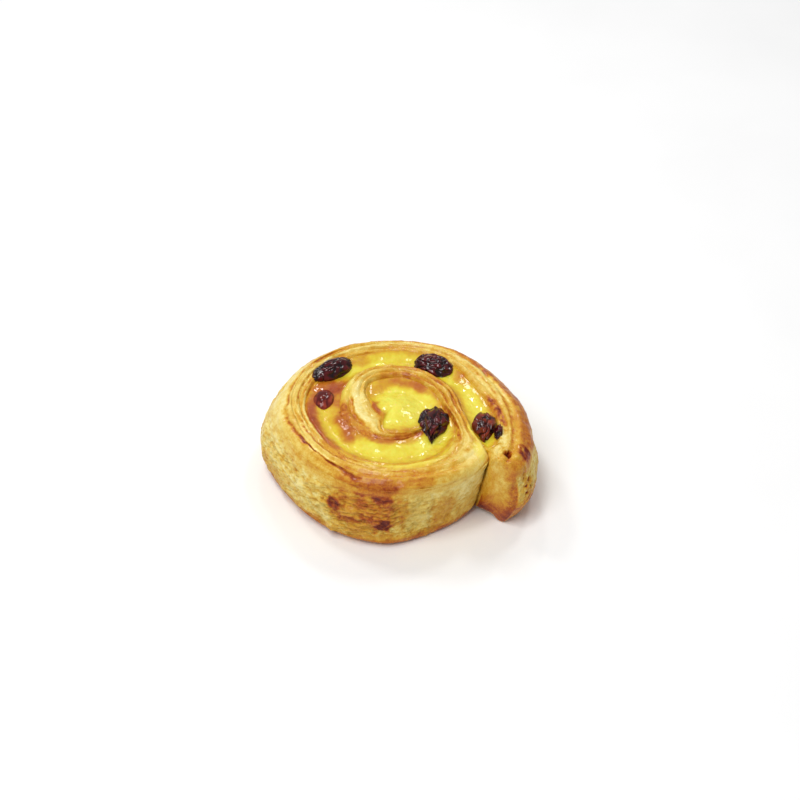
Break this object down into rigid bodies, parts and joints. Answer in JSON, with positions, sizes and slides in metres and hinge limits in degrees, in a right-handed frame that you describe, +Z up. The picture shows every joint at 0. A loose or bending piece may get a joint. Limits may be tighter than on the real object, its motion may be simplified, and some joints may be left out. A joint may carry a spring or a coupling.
{
  "type": "raisin custard pastry",
  "caption": "Round pastry swirl: a rolled strip of flaky browned dough with yellow custard between its turns, glossy dark raisins in the top and a loose outer end.",
  "frame": {"origin": "middle of the bounding box, in the plane of the flat baked base", "axes": "+Z up through the cut face of the swirl; -Y is the front, where the picture was taken from, and +X is to the right, so that the loose end points to the front right"},
  "size_m": [0.1061, 0.0928, 0.0328],
  "materials": {
    "dough": "golden baked crust with browner edges",
    "custard": "glazed yellow custard",
    "raisin": "wrinkled and glossy"
  },
  "bodies": {
    "root": {"dough": "dough", "custard": "custard", "raisin_back_left": "raisin", "raisin_back_right": "raisin", "raisin_middle": "raisin", "raisin_right": "raisin", "raisin_tail": "raisin", "raisin_left": "raisin"}
  },
  "joints": []
}
